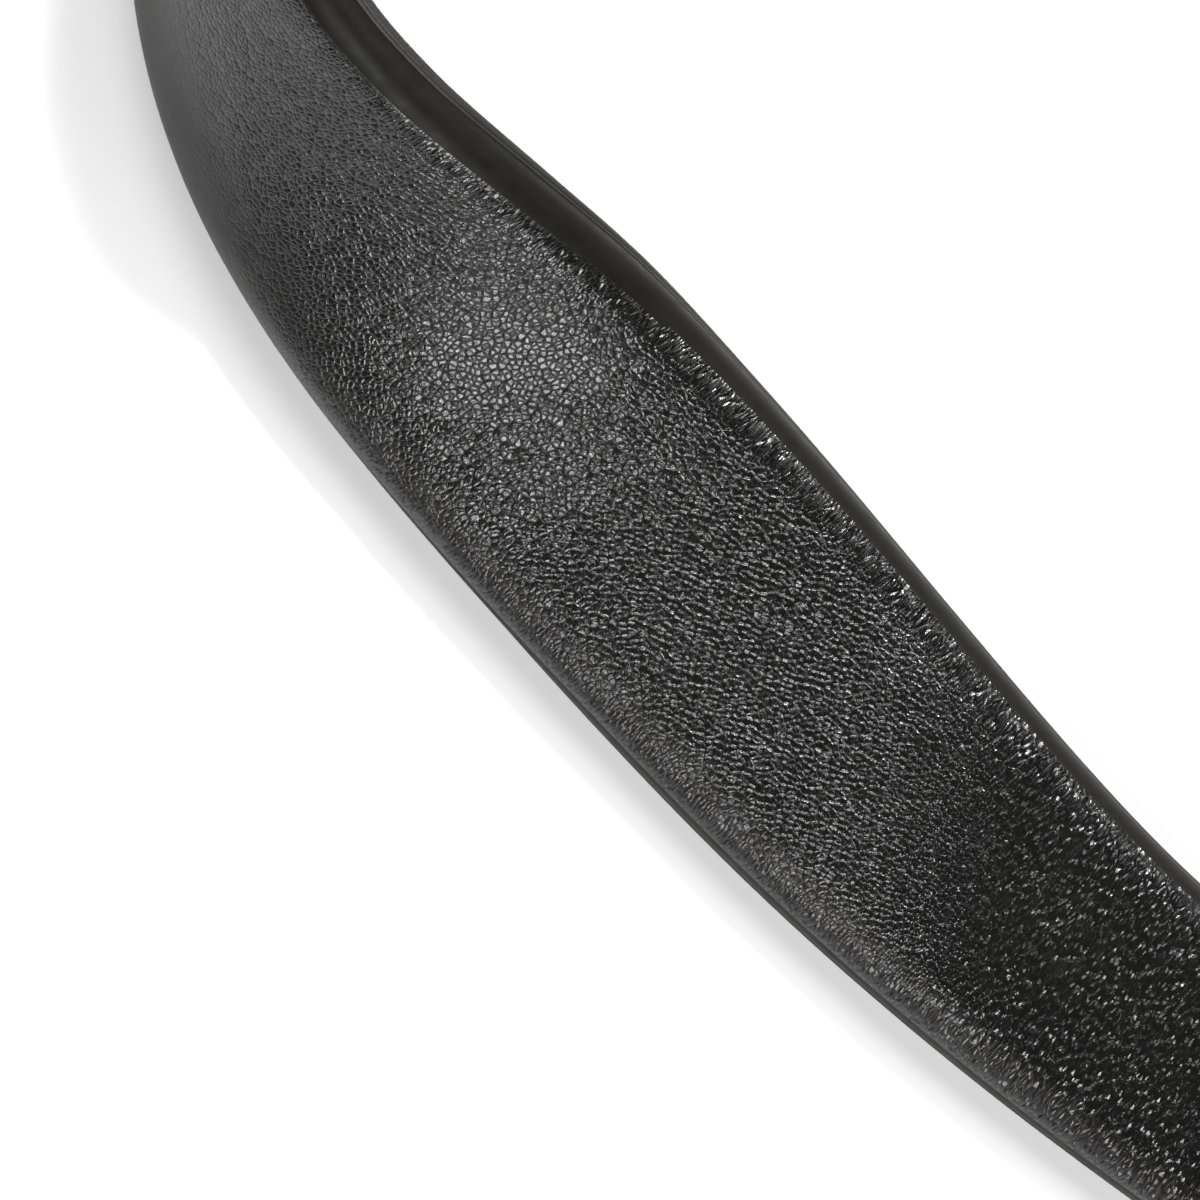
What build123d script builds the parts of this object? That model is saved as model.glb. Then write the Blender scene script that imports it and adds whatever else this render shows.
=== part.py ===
from build123d import *
import math
import os

# Saxophone neck strap: a padded leather neck band laid out as a loop on a table, two flat side
# straps that meet in a slider, and a sprung swivel hook. Millimetres, +Z up, table at Z = 0.
# The loop is symmetric about X = 0, the back of the neck is towards +Y and the hook towards -Y.

# The band's outer edge rests on the table. Its course is given from the middle of the back of the
# neck (station 0) to the band's end, by arc length along that edge.
HEADING = [(0, 0), (38, 26), (64, 44.5), (94, 63), (124, 74.5), (154, 80), (184, 83),
           (214, 87.5), (244, 91.5), (274, 96), (299, 110)]
LEAN = [(-59, 60), (0, 75), (59, 60), (84, 46.5), (109, 30), (134, 13.5), (159, 4.5), (189, 0), (299, 0)]
WIDTH = [(0, 44), (154, 44), (194, 42), (234, 37.5), (274, 33), (299, 24)]
MIDDLE = [(0, 8.8), (214, 8.8), (276, 8.2), (299, 7.6)]
BACK_Y = 256.0
BAND_END = 299.0
PAD_END = 276.0
END_WALL = 1.6
COURSE_STEP = 1.0
PAD_STATIONS = 18
END_STATIONS = 4
CROWDING = 1.4

LINING = 1.8
LEATHER = 1.3
LIP = 0.3
SHOULDER_DROP = 1.6
ROLL_POWER = 6
ARCH_POINTS = 8
TAPE_WIDTH = 12.0
TAPE = 0.8
CAP = 1.4

STRAP_WIDTH = 10.0
STRAP = 2.2
STRAP_X = 8.0
STRAP_Z = LINING
STRAP_TAIL = 19.0
FORK_RADIUS = 45.0
LOOP_LENGTH = 369.3
FORK_Y = BACK_Y - LOOP_LENGTH

RIVET_HEAD = 3.5
RIVET_HEAD_HEIGHT = 1.1
RIVET_EDGE = 0.8
RIVET_SHANK = 1.5
RIVET_TAIL_Z = 0.3
THROUGH = 20.0
END_RIVET_INSETS = (7.0, 15.0)

SLIDER_LENGTH = 22.0
SLIDER_WIDTH = 36.0
SLIDER_HEIGHT = 5.8
SLIDER_Y = FORK_Y - 13.0
SLIDER_TRAVEL = 28.0
SLIDER_CORNER = 4.0
SLOT_CLEARANCE = 0.3
FACING = 1.4
FACING_MARGIN = 0.5
FACING_RIVET_X = 15.2
FACING_RIVET_HEAD = 1.6
FACING_RIVET_HEAD_HEIGHT = 0.7
FACING_RIVET_SHANK = 0.8
FACING_RIVET_GRIP = 2.0

KEEPER_LENGTH = 6.0
KEEPER_WALL = 1.2
KEEPER_GAP = 1.0
KEEPER_Y = SLIDER_Y - SLIDER_TRAVEL - SLIDER_LENGTH / 2 - KEEPER_LENGTH / 2 - KEEPER_GAP

FRAME_ROD = 1.75
FOLD_GAP = 0.4
AXIS_Z = STRAP_Z + STRAP + FOLD_GAP + FRAME_ROD
BAR_Y = KEEPER_Y - 31.0
BAR_HALF = 16.5
FOLD_RIVET_Y = BAR_Y + 16.5
FOLD_END_Y = BAR_Y + 22.0
FOLD_SLOPE = 11.5
FRAME_DEPTH = 15.0
FRAME_LEG = 6.0
FRAME_BEND = 2.6
FRAME_SEAT = 0.6
BOSS_RADIUS = 4.5
BOSS_LENGTH = 5.0
OVERRUN = 1.0

STUD_RADIUS = 2.0
RUNNING_FIT = 0.05
STUD_HEAD_RADIUS = 3.4
STUD_HEAD = 1.6
STUD_DEPTH = 3.0
HEAD_ROOM = 0.6
END_PLAY = 0.3
WASHER = 0.6

HOOK_ROD = 2.6
HOOK_X = 9.0
HOOK_COLLAR = 5.0
HOOK_DROP = 23.0
HOOK_SHOULDER = 6.5
HOOK_BEND = 5.0
HOOK_TIP_RISE = 5.0
SLEEVE = 0.8
SLEEVE_START = 20.0
EAR_RADIUS = 2.8
EAR_THICKNESS = 1.3
EAR_GAP = 4.4
EAR_ROOT = 3.5
EAR_WEB = 4.4
EAR_WEB_SHIFT = 1.2
GATE_ROOM = (7.6, 6.6)
GATE_ROOM_SHIFT = (0.6, -0.4)
PIN_RADIUS = 1.0
GATE_DROP = 3.2
GATE_THICKNESS = 2.0
GATE_WIDTH = 2.6
GATE_HUB = 2.3
GATE_CLEARANCE = 0.35
GATE_SIDE_PLAY = 0.2
GATE_LAP = 2.0
GATE_ROUND = 0.8
COIL_ROD = 0.3
COIL_RADIUS = 1.6
COIL_TURNS = 2
COIL_PITCH = 0.66
COIL_PLAY = 0.1

BOSS_TOP_Y = BAR_Y - FRAME_DEPTH
BOSS_END_Y = BOSS_TOP_Y - BOSS_LENGTH
COLLAR_Y = BOSS_END_Y - WASHER - END_PLAY
GATE_X = 5.0
GATE_Y = COLLAR_Y - HOOK_COLLAR - GATE_DROP
BOWL_Y = COLLAR_Y - HOOK_COLLAR - HOOK_DROP
TIP_Y = BOWL_Y + HOOK_TIP_RISE


def smooth(table, station):
    """Cubic through (station, value) pairs, each slope taken from the two neighbours."""
    low = 0
    while low < len(table) - 2 and station > table[low + 1][0]:
        low += 1

    def slope(index):
        before = table[max(index - 1, 0)]
        after = table[min(index + 1, len(table) - 1)]
        return (after[1] - before[1]) / (after[0] - before[0])

    (start, first), (stop, last) = table[low], table[low + 1]
    span = stop - start
    u = (station - start) / span
    return ((1 + 2 * u) * (1 - u) ** 2 * first + u * (1 - u) ** 2 * span * slope(low)
            + u * u * (3 - 2 * u) * last + u * u * (u - 1) * span * slope(low + 1))


def edge_point(station):
    """Place and heading (radians, 0 towards -X, 90 degrees towards -Y) of the left arm's edge."""
    x, y = 0.0, BACK_Y
    steps = max(1, round(station / COURSE_STEP))
    step = station / steps
    for index in range(steps):
        angle = math.radians(smooth(HEADING, (index + 0.5) * step))
        x -= math.cos(angle) * step
        y -= math.sin(angle) * step
    return x, y, math.radians(smooth(HEADING, station))


def place(station, points):
    """Section points (across, up from the lining's back) at a station; negative is the right arm."""
    x, y, heading = edge_point(abs(station))
    lean = math.radians(max(0.0, smooth(LEAN, abs(station))))
    side = 1 if station >= 0 else -1
    placed = []
    for across, up in points:
        inward = across * math.cos(lean) - up * math.sin(lean)
        height = across * math.sin(lean) + up * math.cos(lean)
        placed.append(Vector(side * (x + math.sin(heading) * inward),
                             y - math.cos(heading) * inward, height))
    return placed


def arch(station, grow):
    """The padded outline from the outer foot over the top to the inner foot, grown by grow."""
    width = smooth(WIDTH, abs(station))
    middle = smooth(MIDDLE, abs(station))
    half = width / 2 - LIP + grow
    shoulder = middle - SHOULDER_DROP
    points = []
    for index in range(ARCH_POINTS + 1):
        x = -math.cos(math.pi * index / ARCH_POINTS)
        crown = shoulder - LINING + SHOULDER_DROP * (1 - x * x) + grow
        rise = crown * max(0.0, 1 - abs(x) ** ROLL_POWER) ** 0.45
        points.append((width / 2 + half * x, LINING + rise))
    return points


def band_loft(stations, outline):
    """A solid through the closed outlines that outline(station) gives at each station."""
    return Solid.make_loft([Wire.make_polygon(place(s, outline(s)), close=True) for s in stations],
                           ruled=True)


def pad_stations():
    """Stations over the padded length, closer together round the back of the neck."""
    left = [PAD_END * (index / PAD_STATIONS) ** CROWDING for index in range(PAD_STATIONS, 0, -1)]
    return left + [0.0] + [-station for station in left[::-1]]


def end_stations():
    """Stations of the left arm's end, from the tip to the padding."""
    step = (BAND_END - PAD_END) / END_STATIONS
    return [BAND_END - step * index for index in range(END_STATIONS + 1)]


def whole_stations(tip):
    left = tip + end_stations()[:-1]
    return left + pad_stations() + [-station for station in left[::-1]]


def shell(station):
    return arch(station, 0) + arch(station, -LEATHER)[::-1]


def cap_shell(station):
    return arch(station, CAP) + arch(station, 0)[::-1]


def cap_wall(station):
    return arch(station, CAP)


def lining_strip(station):
    width = smooth(WIDTH, abs(station))
    return [(0, 0), (width, 0), (width, LINING), (0, LINING)]


def tape_edges(station):
    middle = smooth(WIDTH, abs(station)) / 2
    return middle - TAPE_WIDTH / 2, middle + TAPE_WIDTH / 2


def tape_strip(station):
    near, far = tape_edges(station)
    return [(near, LINING), (far, LINING), (far, LINING + TAPE), (near, LINING + TAPE)]


def pad_core(station):
    near, far = tape_edges(station)
    notch = [(far, LINING), (far, LINING + TAPE), (near, LINING + TAPE), (near, LINING)]
    return arch(station, -LEATHER) + notch


def end_core(station):
    return arch(station, -LEATHER)


def rod(points, radius, bends):
    """A round bar along a polyline with rounded corners."""
    path = FilletPolyline(*points, radius=bends)
    return sweep(Plane(path @ 0, z_dir=path % 0) * Circle(radius), path=path)


def cylinder_y(x, start_y, end_y, z, radius):
    """A round bar along Y between two heights of the loop."""
    bar = Cylinder(radius, abs(end_y - start_y))
    return Pos(x, (start_y + end_y) / 2, z) * Rot(90, 0, 0) * bar


# Where the band ends, and the straight line that the left side strap takes from there to the fork.
end_x, end_y, end_heading = edge_point(BAND_END)
half_end = smooth(WIDTH, BAND_END) / 2
end_middle = Vector(end_x + math.sin(end_heading) * half_end,
                    end_y - math.cos(end_heading) * half_end, 0)
run = math.atan2(-STRAP_X - end_middle.X, end_middle.Y - FORK_Y)
for _ in range(20):
    bend_start = Vector(-STRAP_X - FORK_RADIUS * (1 - math.cos(run)),
                        FORK_Y + FORK_RADIUS * math.sin(run), 0)
    run = math.atan2(bend_start.X - end_middle.X, end_middle.Y - bend_start.Y)
run_direction = Vector(math.sin(run), -math.cos(run), 0)


def side_strap():
    """Left strap: flat from inside the band's end to the hook's frame, and folded back over it."""
    tail = end_middle - run_direction * STRAP_TAIL
    path = Polyline(tail, bend_start) + TangentArc(bend_start, Vector(-STRAP_X, FORK_Y, 0),
                                                   tangent=run_direction)
    flat = Pos(0, 0, STRAP_Z) * extrude(trace(path, STRAP_WIDTH), STRAP)
    straight = Pos(-STRAP_X, (FORK_Y + BAR_Y) / 2, STRAP_Z + STRAP / 2) * Box(
        STRAP_WIDTH, FORK_Y - BAR_Y, STRAP)
    return flat + straight + Pos(-STRAP_X, 0, 0) * strap_fold()


def strap_fold():
    """The turn round the bar and the end that comes back on top of the strap."""
    inner = FRAME_ROD + FOLD_GAP
    outer = inner + STRAP
    rest = STRAP_Z + 2 * STRAP
    slope_start = BAR_Y + FOLD_SLOPE
    with BuildSketch(Plane.YZ) as side:
        with BuildLine():
            CenterArc((BAR_Y, AXIS_Z), outer, 90, 180)
            Line((BAR_Y, AXIS_Z - outer), (BAR_Y, AXIS_Z - inner))
            CenterArc((BAR_Y, AXIS_Z), inner, 90, 180)
            Polyline((BAR_Y, AXIS_Z + inner), (slope_start, rest - STRAP), (FOLD_END_Y, rest - STRAP),
                     (FOLD_END_Y, rest), (slope_start, rest), (BAR_Y, AXIS_Z + outer))
        make_face()
    return extrude(side.sketch, STRAP_WIDTH / 2, both=True)


def rivet(x, y, low, high):
    """A round-headed rivet whose shank runs from low to high, with a flat tail set in below."""
    shank = Pos(x, y, (low + high) / 2) * Cylinder(RIVET_SHANK, high - low)
    head = Pos(x, y, high + RIVET_HEAD_HEIGHT / 2) * Cylinder(RIVET_HEAD, RIVET_HEAD_HEIGHT)
    top_edge = head.edges().sort_by(Axis.Z)[-1]
    return shank + fillet(top_edge, RIVET_EDGE)


def shank_hole(x, y):
    return Pos(x, y, THROUGH / 2) * Cylinder(RIVET_SHANK, THROUGH)


def slider_body():
    block = Pos(0, SLIDER_Y, SLIDER_HEIGHT / 2) * Box(SLIDER_WIDTH, SLIDER_LENGTH, SLIDER_HEIGHT)
    block = fillet(block.edges().filter_by(Axis.Z), SLIDER_CORNER)
    slot = Box(STRAP_WIDTH + 2 * SLOT_CLEARANCE, SLIDER_LENGTH + 2 * OVERRUN,
               STRAP + 2 * SLOT_CLEARANCE)
    for side in (-1, 1):
        block -= Pos(side * STRAP_X, SLIDER_Y, STRAP_Z + STRAP / 2) * slot
        block -= facing_hole(side)
    return block


def facing_hole(side):
    hole = Cylinder(FACING_RIVET_SHANK, 2 * FACING_RIVET_GRIP)
    return Pos(side * FACING_RIVET_X, SLIDER_Y, SLIDER_HEIGHT) * hole


def slider_facing():
    plate = Pos(0, SLIDER_Y, SLIDER_HEIGHT + FACING / 2) * Box(
        SLIDER_WIDTH - 2 * FACING_MARGIN, SLIDER_LENGTH - 2 * FACING_MARGIN, FACING)
    plate = fillet(plate.edges().filter_by(Axis.Z), SLIDER_CORNER - FACING_MARGIN)
    for side in (-1, 1):
        plate -= facing_hole(side)
    return plate


def slider_rivets():
    rivets = []
    low, high = SLIDER_HEIGHT - FACING_RIVET_GRIP, SLIDER_HEIGHT + FACING
    for side in (-1, 1):
        place_at = Pos(side * FACING_RIVET_X, SLIDER_Y, 0)
        shank = place_at * Pos(0, 0, (low + high) / 2) * Cylinder(FACING_RIVET_SHANK, high - low)
        head = place_at * Pos(0, 0, high + FACING_RIVET_HEAD_HEIGHT / 2) * Cylinder(
            FACING_RIVET_HEAD, FACING_RIVET_HEAD_HEIGHT)
        rivets.append(shank + head)
    return rivets


def strap_keeper():
    """A leather sleeve closed round both straps."""
    inner_width = 2 * STRAP_X + STRAP_WIDTH
    outer = Box(inner_width + 2 * KEEPER_WALL, KEEPER_LENGTH, STRAP + 2 * KEEPER_WALL)
    inner = Box(inner_width, KEEPER_LENGTH, STRAP)
    return Pos(0, KEEPER_Y, STRAP_Z + STRAP / 2) * (outer - inner)


def hook_frame():
    """Metal eye: a straight bar for the folds, two legs, and the swivel's bored boss."""
    root = (BOSS_RADIUS - FRAME_ROD + FRAME_SEAT, BOSS_TOP_Y - BOSS_LENGTH / 2, AXIS_Z)
    eye = rod([(0, BAR_Y, AXIS_Z), (BAR_HALF, BAR_Y, AXIS_Z), (BAR_HALF, BAR_Y - FRAME_LEG, AXIS_Z),
               root], FRAME_ROD, FRAME_BEND)
    boss = cylinder_y(0, BOSS_TOP_Y, BOSS_END_Y, AXIS_Z, BOSS_RADIUS)
    bore = cylinder_y(0, BOSS_TOP_Y + OVERRUN, BOSS_END_Y - OVERRUN, AXIS_Z,
                      STUD_RADIUS + RUNNING_FIT)
    window = cylinder_y(0, BOSS_TOP_Y + FRAME_LEG, BOSS_TOP_Y, AXIS_Z,
                        STUD_HEAD_RADIUS + HEAD_ROOM)
    return eye + mirror(eye, Plane.YZ) + boss - bore - window


def swivel_stud():
    head_y = BOSS_TOP_Y + END_PLAY
    head = cylinder_y(0, head_y + STUD_HEAD, head_y, AXIS_Z, STUD_HEAD_RADIUS)
    shank = cylinder_y(0, head_y, COLLAR_Y - STUD_DEPTH, AXIS_Z, STUD_RADIUS)
    return head + shank


def swivel_washer():
    ring = cylinder_y(0, COLLAR_Y + WASHER, COLLAR_Y, AXIS_Z, BOSS_RADIUS)
    return ring - cylinder_y(0, COLLAR_Y + OVERRUN, COLLAR_Y - OVERRUN, AXIS_Z, STUD_RADIUS)


def ears():
    """The fork that holds the gate's pin, on the collar's right."""
    blocks = []
    root_y = COLLAR_Y - EAR_ROOT
    for side in (-1, 1):
        z = AXIS_Z + side * (EAR_GAP + EAR_THICKNESS) / 2
        round_end = Pos(GATE_X, GATE_Y, z) * Cylinder(EAR_RADIUS, EAR_THICKNESS)
        web = Pos(GATE_X - EAR_WEB_SHIFT, (GATE_Y + root_y) / 2, z) * Box(
            EAR_WEB, root_y - GATE_Y, EAR_THICKNESS)
        blocks.append(round_end + web)
    return blocks


def hook_body():
    collar = cylinder_y(0, COLLAR_Y, COLLAR_Y - HOOK_COLLAR, AXIS_Z, BOSS_RADIUS)
    neck_y = COLLAR_Y - HOOK_COLLAR / 2
    back = rod([(0, neck_y, AXIS_Z), (-HOOK_X, neck_y - HOOK_SHOULDER, AXIS_Z),
                (-HOOK_X, BOWL_Y, AXIS_Z)], HOOK_ROD, HOOK_BEND)
    bowl = Edge.make_circle(HOOK_X, Plane((0, BOWL_Y, AXIS_Z)), 180, 360)
    bend = sweep(Plane((-HOOK_X, BOWL_Y, AXIS_Z), z_dir=(0, -1, 0)) * Circle(HOOK_ROD), path=bowl)
    tip = cylinder_y(HOOK_X, TIP_Y, BOWL_Y, AXIS_Z, HOOK_ROD)
    tip += Pos(HOOK_X, TIP_Y, AXIS_Z) * Sphere(HOOK_ROD)
    body = collar + back + bend + tip
    for ear in ears():
        body += ear
    body -= cylinder_y(0, COLLAR_Y + OVERRUN, COLLAR_Y - STUD_DEPTH, AXIS_Z, STUD_RADIUS)
    body -= Pos(GATE_X, GATE_Y, AXIS_Z) * Cylinder(PIN_RADIUS, THROUGH)
    shift_x, shift_y = GATE_ROOM_SHIFT
    return body - Pos(GATE_X + shift_x, GATE_Y + shift_y, AXIS_Z) * Box(*GATE_ROOM, EAR_GAP)


def hook_sleeve():
    """Soft tube on the hook's bowl."""
    bowl = Edge.make_circle(HOOK_X, Plane((0, BOWL_Y, AXIS_Z)), 180 + SLEEVE_START,
                            360 - SLEEVE_START)
    start = Plane(bowl @ 0, z_dir=bowl % 0)
    return sweep(start * (Circle(HOOK_ROD + SLEEVE) - Circle(HOOK_ROD)), path=bowl)


def hook_gate():
    """Straight lever from the pin to the inside of the hook's tip."""
    low_z = AXIS_Z - EAR_GAP / 2 + GATE_SIDE_PLAY
    hub = Pos(GATE_X, GATE_Y, low_z + GATE_THICKNESS / 2) * Cylinder(GATE_HUB, GATE_THICKNESS)
    end = TIP_Y - GATE_LAP
    lever_x = HOOK_X - HOOK_ROD - GATE_CLEARANCE - GATE_WIDTH / 2
    lever = Pos(lever_x, (GATE_Y + end) / 2, low_z + GATE_THICKNESS / 2) * Box(
        GATE_WIDTH, GATE_Y - end, GATE_THICKNESS)
    lever = fillet(lever.edges().filter_by(Axis.Z).sort_by(Axis.Y)[:2], GATE_ROUND)
    bore = Pos(GATE_X, GATE_Y, AXIS_Z) * Cylinder(PIN_RADIUS + RUNNING_FIT, THROUGH)
    return hub + lever - bore


def gate_pin():
    return Pos(GATE_X, GATE_Y, AXIS_Z) * Cylinder(PIN_RADIUS, EAR_GAP + 2 * EAR_THICKNESS)


def gate_spring():
    """Coil round the pin beside the gate's hub."""
    base = AXIS_Z - EAR_GAP / 2 + GATE_SIDE_PLAY + GATE_THICKNESS + COIL_PLAY + COIL_ROD
    coil = Edge.make_helix(COIL_PITCH, COIL_TURNS * COIL_PITCH, COIL_RADIUS)
    wire = sweep(Plane(coil @ 0, z_dir=coil % 0) * Circle(COIL_ROD), path=coil)
    return Pos(GATE_X, GATE_Y, base) * wire


def both_sides(name, shape):
    """A left piece and its mirror image."""
    return {"left_" + name: shape, "right_" + name: mirror(shape, Plane.YZ)}


def band_pieces():
    strap = side_strap()
    cover = band_loft(whole_stations([]), shell)
    lining = band_loft(whole_stations([BAND_END + END_WALL]), lining_strip)
    stiffener = band_loft(end_stations(), end_core) - strap
    cap = band_loft(end_stations()[:-1], cap_shell)
    cap = cap + band_loft([BAND_END + END_WALL, BAND_END], cap_wall) - strap
    rivets = []
    for inset in END_RIVET_INSETS:
        spot = end_middle - run_direction * inset
        hole = shank_hole(spot.X, spot.Y)
        cover = cover - hole - mirror(hole, Plane.YZ)
        lining = lining - hole - mirror(hole, Plane.YZ)
        stiffener -= hole
        cap -= hole
        strap -= hole
        rivets.append(rivet(spot.X, spot.Y, RIVET_TAIL_Z, smooth(MIDDLE, BAND_END - inset) + CAP))
    pieces = {"face_leather": cover, "lining_leather": lining,
              "foam_pad": band_loft(pad_stations(), pad_core),
              "load_tape": band_loft(pad_stations(), tape_strip)}
    pieces.update(both_sides("end_stiffener", stiffener))
    pieces.update(both_sides("end_cap", cap))
    pieces.update(both_sides("end_rivets", Compound(rivets)))
    fold_hole = shank_hole(-STRAP_X, FOLD_RIVET_Y)
    pieces.update(both_sides("side_strap", strap - fold_hole))
    fold_rivet = rivet(-STRAP_X, FOLD_RIVET_Y, STRAP_Z, STRAP_Z + 2 * STRAP)
    pieces.update(both_sides("fold_rivet", fold_rivet))
    return pieces


def hardware_pieces():
    return {"strap_keeper": strap_keeper(), "slider_body": slider_body(),
            "slider_facing": slider_facing(), "slider_rivets": Compound(slider_rivets()),
            "hook_frame": hook_frame(), "swivel_stud": swivel_stud(),
            "swivel_washer": swivel_washer(), "hook_body": hook_body(),
            "hook_sleeve": hook_sleeve(), "hook_gate": hook_gate(),
            "gate_pin": gate_pin(), "gate_spring": gate_spring()}


os.makedirs("parts", exist_ok=True)
for name, piece in {**band_pieces(), **hardware_pieces()}.items():
    export_step(piece, f"parts/{name}.step")
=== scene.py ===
"""Looks of a saxophone neck strap: a padded, grained leather neck band, side straps and hook.

The neck band, its lining, the end caps, the straps, the keeper, the slider and the rivet heads
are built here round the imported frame. The hook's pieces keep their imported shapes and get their
materials here.
Section and course sizes are in millimetres, as in the design; MM turns them into metres.
"""
import math

import bpy
from mathutils import Matrix, Vector, noise


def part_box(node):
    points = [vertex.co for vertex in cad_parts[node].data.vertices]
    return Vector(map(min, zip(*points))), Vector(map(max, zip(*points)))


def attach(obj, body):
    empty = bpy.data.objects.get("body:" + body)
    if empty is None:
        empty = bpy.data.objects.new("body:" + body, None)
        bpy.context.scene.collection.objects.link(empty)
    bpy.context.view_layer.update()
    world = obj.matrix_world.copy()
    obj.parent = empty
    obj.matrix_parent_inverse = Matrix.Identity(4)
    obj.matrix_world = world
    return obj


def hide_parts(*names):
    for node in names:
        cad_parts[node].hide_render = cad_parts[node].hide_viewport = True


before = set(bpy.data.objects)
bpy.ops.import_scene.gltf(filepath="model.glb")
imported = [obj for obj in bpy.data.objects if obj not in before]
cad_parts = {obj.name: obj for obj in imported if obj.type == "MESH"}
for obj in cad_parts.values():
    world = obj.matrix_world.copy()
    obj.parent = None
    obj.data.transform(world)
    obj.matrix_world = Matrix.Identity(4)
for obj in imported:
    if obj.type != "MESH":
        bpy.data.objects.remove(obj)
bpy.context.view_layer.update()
MM = 0.001

# The band's course, lean, width and thickness by station, in the design's own sizes.
HEADING = [(0, 0), (38, 26), (64, 44.5), (94, 63), (124, 74.5), (154, 80), (184, 83),
           (214, 87.5), (244, 91.5), (274, 96), (299, 110)]
LEAN = [(-59, 60), (0, 75), (59, 60), (84, 46.5), (109, 30), (134, 13.5), (159, 4.5),
        (189, 0), (299, 0)]
WIDTH = [(0, 44), (154, 44), (194, 42), (234, 37.5), (274, 33), (299, 24)]
MIDDLE = [(0, 8.8), (214, 8.8), (276, 8.2), (299, 7.6)]
BACK_Y = 256.0
BAND_END = 299.0
EDGE_STEP = 0.5
EDGE_LENGTH = 304.0

# The cover's roll and unevenness, the lining, the rims' beads and the end caps.
COVER_STEP = 1.0
LIP = 0.3
SHOULDER_DROP = 0.9
ROLL_POWER = 13
ROLL_ROUND = 0.45
ROLL_BULGE = 0.45
UNEVEN = 0.25
UNEVEN_SLOW = 60.0
UNEVEN_FINE = 190.0
UNEVEN_HELD = 6
TURNED_FROM = 0.6
LINING = 1.8
LINING_STEP = 1.5
LINING_PROUD = 0.25
LINING_EDGE = 0.85
BEAD_RADIUS = 0.32
BEAD_SHIFT = 0.02
BEAD_RISE = 0.12
BEAD_POINTS = 8
CAP = 1.3
CAP_START = 281.75
CAP_STEP = 0.8
CAP_POINTS = 40
CAP_BULGE = 0.3
CAP_LIFT = 0.7
CAP_ROUND = 1.2
CAP_ROUND_STEPS = 8
CAP_CLOSE_STEPS = 4
END_WALL = 1.5

# The side straps' section, their course to the eye's bar and the fold round it.
STRAP_WIDTH = 10.0
STRAP = 2.2
STRAP_X = 8.0
STRAP_Z = LINING
STRAP_TAIL = 12.0
STRAP_STEP = 2.0
STRAP_CREASE = 0.16
FORK_RADIUS = 45.0
FORK_Y = -113.3
FORK_TURN = 0.06
BAR_Y = -200.3
AXIS_Z = 6.15
WRAP_RADIUS = 3.25
WRAP_TURN = 9
FOLD_SLOPE = 11.5
FOLD_LENGTH = 22.0
FOLD_STEP = 0.8

# The keeper, the slider with its facing, and the rivet heads.
KEEPER_WALL = 1.2
KEEPER_EDGE = 0.5
KEEPER_CROWN = 0.12
KEEPER_CORNER = 1.3
SLIDER_CORNER = 4.0
SLIDER_EDGE = 0.9
PASSAGE_GAP = 0.25
PASSAGE_CORNER = 0.6
FACING_SWELL = 0.55
FACING_GROOVE = 0.35
FACING_CORNER = 3.5
FACING_FLAT_TO = 2.8
FACING_RIM = 0.4
SMALLEST_CORNER = 0.2
RIVET_RADIUS = 3.5
RIVET_HEIGHT = 1.1
RIVET_DOME = 1.25
RIVET_RIM = 0.34
RIVET_POINTS = 40


def smooth(table, station):
    """Cubic through (station, value) pairs, each slope taken from the two neighbours."""
    low = 0
    while low < len(table) - 2 and station > table[low + 1][0]:
        low += 1

    def slope(index):
        before = table[max(index - 1, 0)]
        after = table[min(index + 1, len(table) - 1)]
        return (after[1] - before[1]) / (after[0] - before[0])

    (start, first), (stop, last) = table[low], table[low + 1]
    span = stop - start
    u = (station - start) / span
    return ((1 + 2 * u) * (1 - u) ** 2 * first + u * (1 - u) ** 2 * span * slope(low)
            + u * u * (3 - 2 * u) * last + u * u * (u - 1) * span * slope(low + 1))


def walk_edge():
    """Places along the left arm's resting edge, every EDGE_STEP of arc length."""
    x, y = 0.0, BACK_Y
    places = [(x, y)]
    for index in range(round(EDGE_LENGTH / EDGE_STEP)):
        angle = math.radians(smooth(HEADING, (index + 0.5) * EDGE_STEP))
        x -= math.cos(angle) * EDGE_STEP
        y -= math.sin(angle) * EDGE_STEP
        places.append((x, y))
    return places


EDGE = walk_edge()


def edge_point(station):
    """The resting edge's x, y and heading in radians at a station of the left arm."""
    index = min(int(station / EDGE_STEP), len(EDGE) - 2)
    share = station / EDGE_STEP - index
    (x0, y0), (x1, y1) = EDGE[index], EDGE[index + 1]
    return x0 + (x1 - x0) * share, y0 + (y1 - y0) * share, math.radians(smooth(HEADING, station))


def place(station, points):
    """Section points (across, up from the lining's back) at a station, in metres.

    The right arm's stations are negative.
    """
    x, y, heading = edge_point(abs(station))
    lean = math.radians(max(0.0, smooth(LEAN, abs(station))))
    side = 1 if station >= 0 else -1
    placed = []
    for across, up in points:
        inward = across * math.cos(lean) - up * math.sin(lean)
        height = across * math.sin(lean) + up * math.cos(lean)
        placed.append(Vector((side * (x + math.sin(heading) * inward),
                              y - math.cos(heading) * inward, height)) * MM)
    return placed


def stations(first, last, step):
    """Evenly spaced numbers from first to last, about a step apart."""
    count = max(1, round(abs(last - first) / step))
    return [first + (last - first) * index / count for index in range(count + 1)]


# ---------------------------------------------------------------- mesh building

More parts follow.
